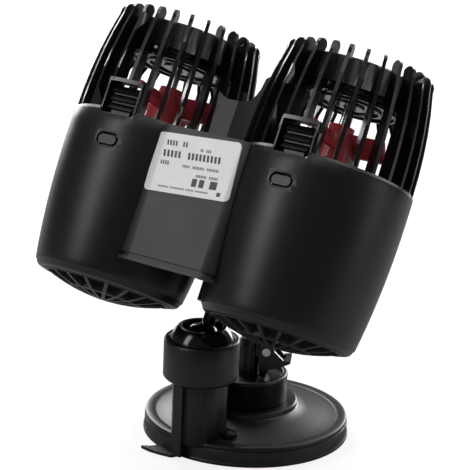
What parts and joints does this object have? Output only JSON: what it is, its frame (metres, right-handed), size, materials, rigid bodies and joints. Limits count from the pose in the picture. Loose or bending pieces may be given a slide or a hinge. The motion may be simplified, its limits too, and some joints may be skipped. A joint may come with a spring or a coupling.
{
  "type": "wave maker pump",
  "caption": "Submersible aquarium wave maker with finned motor heads and nozzle cups on a bridge, held by a ball joint on a lever-lock suction base.",
  "frame": {"origin": "centre of the suction disc, on the face that it holds to", "axes": "+Z out of the face that the disc holds to, -Y from the disc's centre towards the ball tower and the front of the pump"},
  "size_m": [0.1387, 0.1091, 0.1651],
  "materials": {
    "black_abs": "satin moulded ABS",
    "gloss_abs": "polished moulded ABS",
    "black_rubber": "matt moulded rubber",
    "red_nylon": "moulded nylon",
    "white_label": "printed film, blank",
    "steel": "stainless steel",
    "ceramic": "ceramic",
    "copper": "enamelled copper wire",
    "resin": "potting resin and acetal",
    "magnet": "ferrite"
  },
  "bodies": {
    "base": {"suction_cup": "black_rubber", "cup_cover": "black_abs", "socket_tower": "black_abs", "tower_screws": "steel", "lever_hub": "black_abs", "cam_seat": "resin", "socket_cap": "gloss_abs"},
    "lift_post": {"lift_post": "black_abs", "lever_pin": "steel"},
    "cam_lever": {"cam_lever": "black_abs"},
    "collar_nut": {"collar_nut": "black_abs"},
    "ball_seat": {"ball_seat": "resin"},
    "ball_stem": {"ball_stem": "gloss_abs", "stem_screw": "steel"},
    "pump": {"bridge_front": "black_abs", "bridge_rear": "black_abs", "bridge_screws": "steel", "label_plate": "white_label", "cable_gland": "black_rubber", "wire_block": "resin", "cage_left": "black_abs", "motor_can_left": "gloss_abs", "can_seal_left": "black_rubber", "potting_plug_left": "resin", "stator_core_left": "steel", "stator_coils_left": "copper", "lower_bush_left": "ceramic", "upper_bush_left": "ceramic", "nozzle_cup_left": "black_abs", "outlet_grille_left": "black_abs", "cage_right": "black_abs", "motor_can_right": "gloss_abs", "can_seal_right": "black_rubber", "potting_plug_right": "resin", "stator_core_right": "steel", "stator_coils_right": "copper", "lower_bush_right": "ceramic", "upper_bush_right": "ceramic", "nozzle_cup_right": "black_abs", "outlet_grille_right": "black_abs"},
    "rotor_left": {"impeller_left": "red_nylon", "motor_shaft_left": "steel", "rotor_magnet_left": "magnet"},
    "release_catch_left": {"release_catch_left": "black_abs"},
    "rotor_right": {"impeller_right": "red_nylon", "motor_shaft_right": "steel", "rotor_magnet_right": "magnet"},
    "release_catch_right": {"release_catch_right": "black_abs"}
  },
  "joints": [
    {"name": "cam_lever_swing", "type": "hinge", "parent": "lift_post", "child": "cam_lever", "pos_m": [0.00624, 0.0036, 0.0336], "axis": [0.5, -0.866, 0], "range_deg": [0, 90]},
    {"name": "lift_post_slide", "type": "slide", "parent": "base", "child": "lift_post", "axis": [0, 0, 1], "range_m": [-0.0012, 0]},
    {"name": "collar_nut_turn", "type": "hinge", "parent": "base", "child": "collar_nut", "pos_m": [0, -0.0315, 0.035], "axis": [0, 0, 1], "range_deg": [0, 90]},
    {"name": "ball_yaw", "type": "hinge", "parent": "base", "child": "ball_seat", "pos_m": [0, -0.0315, 0.043], "axis": [0, 0, 1], "range_deg": [-80, 80]},
    {"name": "ball_tilt", "type": "hinge", "parent": "ball_seat", "child": "ball_stem", "pos_m": [0, -0.0315, 0.043], "axis": [1, 0, 0], "range_deg": [-3, 59]},
    {"name": "stem_spin", "type": "hinge", "parent": "ball_stem", "child": "pump", "pos_m": [0, -0.0315, 0.043], "axis": [0, 0.4695, 0.8829], "range_deg": [-20, 20]},
    {"name": "rotor_spin_left", "type": "hinge", "parent": "pump", "child": "rotor_left", "pos_m": [-0.03527, -0.01197, 0.12282], "axis": [0, 0.4695, 0.8829], "continuous": true},
    {"name": "release_press_left", "type": "slide", "parent": "pump", "child": "release_catch_left", "axis": [-0.0785, 0.8802, -0.468], "range_m": [0, 0.0015], "stiffness_N_per_m": 1500},
    {"name": "rotor_spin_right", "type": "hinge", "parent": "pump", "child": "rotor_right", "pos_m": [0.038, -0.00688, 0.12012], "axis": [0, 0.4695, 0.8829], "continuous": true},
    {"name": "release_press_right", "type": "slide", "parent": "pump", "child": "release_catch_right", "axis": [-0.0785, 0.8802, -0.468], "range_m": [0, 0.0015], "stiffness_N_per_m": 1500}
  ],
  "couplings": [
    {"joint": "cam_lever_swing", "follows": "lift_post_slide", "rad_per_m": -1309}
  ]
}
